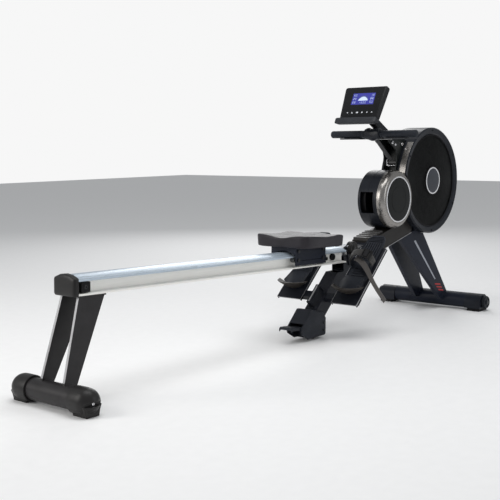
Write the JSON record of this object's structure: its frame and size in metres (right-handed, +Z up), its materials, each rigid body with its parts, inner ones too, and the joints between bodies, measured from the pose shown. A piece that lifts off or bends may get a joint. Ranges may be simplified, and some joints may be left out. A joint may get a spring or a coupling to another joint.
{
  "type": "rowing machine",
  "caption": "Folding indoor rowing machine: sliding seat on a long rail, strapped footrests, pull handle on a strap, enclosed air and magnet flywheel, tilting console.",
  "frame": {"origin": "on the floor under the middle of the machine's length, in its plane of symmetry", "axes": "+X towards the flywheel, +Y to the rower's left, +Z up"},
  "size_m": [2.422, 0.585, 1.02],
  "materials": {
    "frame_paint": "satin",
    "cover_plastic": "satin",
    "housing_plastic": "satin",
    "mesh_plastic": "matte",
    "drum_cap_silver": "satin metallic",
    "disc_plastic": "satin",
    "trim_silver": "satin metallic",
    "rail_aluminium": "anodised satin",
    "steel": "satin",
    "bright_steel": "polished",
    "cap_plastic": "satin",
    "black_rubber": "matte",
    "tread": "matte",
    "seat_foam": "satin",
    "grip_foam": "matte",
    "webbing": "woven",
    "nylon": "satin",
    "spool_plastic": "matte",
    "footrest_plastic": "satin",
    "console_plastic": "satin",
    "key_plastic": "satin",
    "cast_wheel": "painted"
  },
  "bodies": {
    "frame": {"main_beam": "frame_paint", "beam_cover": "cover_plastic", "front_stand": "frame_paint", "front_end_caps": "cap_plastic", "mid_leg": "frame_paint", "mid_leg_boot": "footrest_plastic", "mid_foot_pad": "black_rubber", "upright_frame": "frame_paint", "strap_guide": "bright_steel", "handle_rest": "steel", "fan_shell_near": "housing_plastic", "fan_shell_far": "housing_plastic", "fan_covers": "mesh_plastic", "drum_shell": "housing_plastic", "drum_side_caps": "drum_cap_silver", "side_discs": "disc_plastic", "trim_rings": "trim_silver", "flywheel_axle": "steel", "foot_frame": "frame_paint", "fold_pin": "black_rubber", "console_arm": "frame_paint", "drive_belt": "black_rubber", "tension_motor": "cap_plastic", "frame_bolts": "steel"},
    "rail": {"rail": "rail_aluminium", "rail_end_cap": "cap_plastic", "rail_front_block": "steel", "rail_stops": "black_rubber", "rear_stand": "frame_paint", "rear_end_caps": "cap_plastic"},
    "seat": {"seat_pad": "seat_foam", "seat_carriage": "frame_paint", "seat_axles": "steel"},
    "upper_roller_pair_front": {"upper_rollers_front": "nylon"},
    "upper_roller_pair_rear": {"upper_rollers_rear": "nylon"},
    "lower_roller_pair_front": {"lower_rollers_front": "nylon"},
    "lower_roller_pair_rear": {"lower_rollers_rear": "nylon"},
    "handle": {"handle_bar": "steel", "handle_grips": "grip_foam", "handle_block": "cover_plastic", "pull_strap": "webbing"},
    "spool": {"strap_spool": "spool_plastic"},
    "guide_roller": {"guide_roller": "nylon"},
    "flywheel": {"fan_flywheel": "cast_wheel"},
    "drive_pulley": {"drive_pulley": "spool_plastic"},
    "magnet_arm": {"magnet_bracket": "steel"},
    "console": {"console_case": "console_plastic"},
    "footrest_left": {"footrest_left": "footrest_plastic", "foot_strap_left": "webbing"},
    "footrest_right": {"footrest_right": "footrest_plastic", "foot_strap_right": "webbing"},
    "pedal": {"release_pedal": "footrest_plastic"},
    "transport_wheel_left": {"transport_wheel_left": "tread"},
    "transport_wheel_right": {"transport_wheel_right": "tread"},
    "console_key_1": {"console_key_1": "key_plastic"},
    "console_key_2": {"console_key_2": "key_plastic"},
    "console_key_3": {"console_key_3": "key_plastic"},
    "console_key_4": {"console_key_4": "key_plastic"},
    "console_key_5": {"console_key_5": "key_plastic"},
    "console_key_6": {"console_key_6": "key_plastic"}
  },
  "joints": [
    {"name": "rail_fold", "type": "hinge", "parent": "frame", "child": "rail", "pos_m": [0.366, 0, 0.35], "axis": [0, 1, 0], "range_deg": [0, 86]},
    {"name": "seat_slide", "type": "slide", "parent": "rail", "child": "seat", "axis": [0.9995, 0, -0.0302], "range_m": [-1.018, 0]},
    {"name": "upper_roller_front_spin", "type": "hinge", "parent": "seat", "child": "upper_roller_pair_front", "pos_m": [0.13564, 0, 0.36748], "axis": [0, 1, 0], "continuous": true},
    {"name": "upper_roller_rear_spin", "type": "hinge", "parent": "seat", "child": "upper_roller_pair_rear", "pos_m": [-0.02429, 0, 0.37231], "axis": [0, 1, 0], "continuous": true},
    {"name": "lower_roller_front_spin", "type": "hinge", "parent": "seat", "child": "lower_roller_pair_front", "pos_m": [0.1346, 0, 0.33302], "axis": [0, 1, 0], "continuous": true},
    {"name": "lower_roller_rear_spin", "type": "hinge", "parent": "seat", "child": "lower_roller_pair_rear", "pos_m": [-0.02533, 0, 0.33786], "axis": [0, 1, 0], "continuous": true},
    {"name": "handle_pull", "type": "slide", "parent": "frame", "child": "handle", "axis": [1, 0, 0], "range_m": [-1.25, 0], "stiffness_N_per_m": 15, "springref_m": 0.5, "deforming": ["pull_strap"]},
    {"name": "spool_spin", "type": "hinge", "parent": "frame", "child": "spool", "pos_m": [0.668, 0, 0.538], "axis": [0, 1, 0], "continuous": true},
    {"name": "guide_roller_spin", "type": "hinge", "parent": "frame", "child": "guide_roller", "pos_m": [0.754, 0, 0.697], "axis": [0, 1, 0], "continuous": true},
    {"name": "flywheel_spin", "type": "hinge", "parent": "frame", "child": "flywheel", "pos_m": [0.969, 0, 0.609], "axis": [0, 1, 0], "continuous": true},
    {"name": "drive_pulley_spin", "type": "hinge", "parent": "frame", "child": "drive_pulley", "pos_m": [0.668, 0, 0.538], "axis": [0, 1, 0], "continuous": true},
    {"name": "magnet_swing", "type": "hinge", "parent": "frame", "child": "magnet_arm", "pos_m": [1.01, 0, 0.798], "axis": [0, 1, 0], "range_deg": [-4, 4]},
    {"name": "console_tilt", "type": "hinge", "parent": "frame", "child": "console", "pos_m": [0.548, 0, 0.905], "axis": [0, 1, 0], "range_deg": [-12, 12]},
    {"name": "footrest_left_slide", "type": "slide", "parent": "frame", "child": "footrest_left", "axis": [0.7314, 0, 0.682], "range_m": [-0.05, 0.05]},
    {"name": "footrest_right_slide", "type": "slide", "parent": "frame", "child": "footrest_right", "axis": [0.7314, 0, 0.682], "range_m": [-0.05, 0.05]},
    {"name": "pedal_press", "type": "hinge", "parent": "frame", "child": "pedal", "pos_m": [0.072, 0, 0.05], "axis": [0, 1, 0], "range_deg": [-15, 0], "stiffness_Nm_per_rad": 3, "springref_deg": 20.05},
    {"name": "transport_wheel_left_spin", "type": "hinge", "parent": "frame", "child": "transport_wheel_left", "pos_m": [1.122, 0.2795, 0.042], "axis": [0, 1, 0], "continuous": true},
    {"name": "transport_wheel_right_spin", "type": "hinge", "parent": "frame", "child": "transport_wheel_right", "pos_m": [1.122, -0.2795, 0.042], "axis": [0, 1, 0], "continuous": true},
    {"name": "key_1_press", "type": "slide", "parent": "console", "child": "console_key_1", "axis": [0.8931, 0, -0.4498], "range_m": [0, 0.0008], "stiffness_N_per_m": 400, "springref_m": -0.0004},
    {"name": "key_2_press", "type": "slide", "parent": "console", "child": "console_key_2", "axis": [0.8931, 0, -0.4498], "range_m": [0, 0.0008], "stiffness_N_per_m": 400, "springref_m": -0.0004},
    {"name": "key_3_press", "type": "slide", "parent": "console", "child": "console_key_3", "axis": [0.8931, 0, -0.4498], "range_m": [0, 0.0008], "stiffness_N_per_m": 400, "springref_m": -0.0004},
    {"name": "key_4_press", "type": "slide", "parent": "console", "child": "console_key_4", "axis": [0.8931, 0, -0.4498], "range_m": [0, 0.0008], "stiffness_N_per_m": 400, "springref_m": -0.0004},
    {"name": "key_5_press", "type": "slide", "parent": "console", "child": "console_key_5", "axis": [0.8931, 0, -0.4498], "range_m": [0, 0.0008], "stiffness_N_per_m": 400, "springref_m": -0.0004},
    {"name": "key_6_press", "type": "slide", "parent": "console", "child": "console_key_6", "axis": [0.8931, 0, -0.4498], "range_m": [0, 0.0008], "stiffness_N_per_m": 400, "springref_m": -0.0004}
  ],
  "couplings": [
    {"joint": "upper_roller_front_spin", "follows": "seat_slide", "rad_per_m": 95.238},
    {"joint": "upper_roller_rear_spin", "follows": "seat_slide", "rad_per_m": 95.238},
    {"joint": "lower_roller_front_spin", "follows": "seat_slide", "rad_per_m": -102.04},
    {"joint": "lower_roller_rear_spin", "follows": "seat_slide", "rad_per_m": -102.04},
    {"joint": "spool_spin", "follows": "handle_pull", "rad_per_m": 25},
    {"joint": "guide_roller_spin", "follows": "handle_pull", "rad_per_m": 142.86},
    {"joint": "drive_pulley_spin", "follows": "flywheel_spin", "ratio": 0.2619}
  ]
}
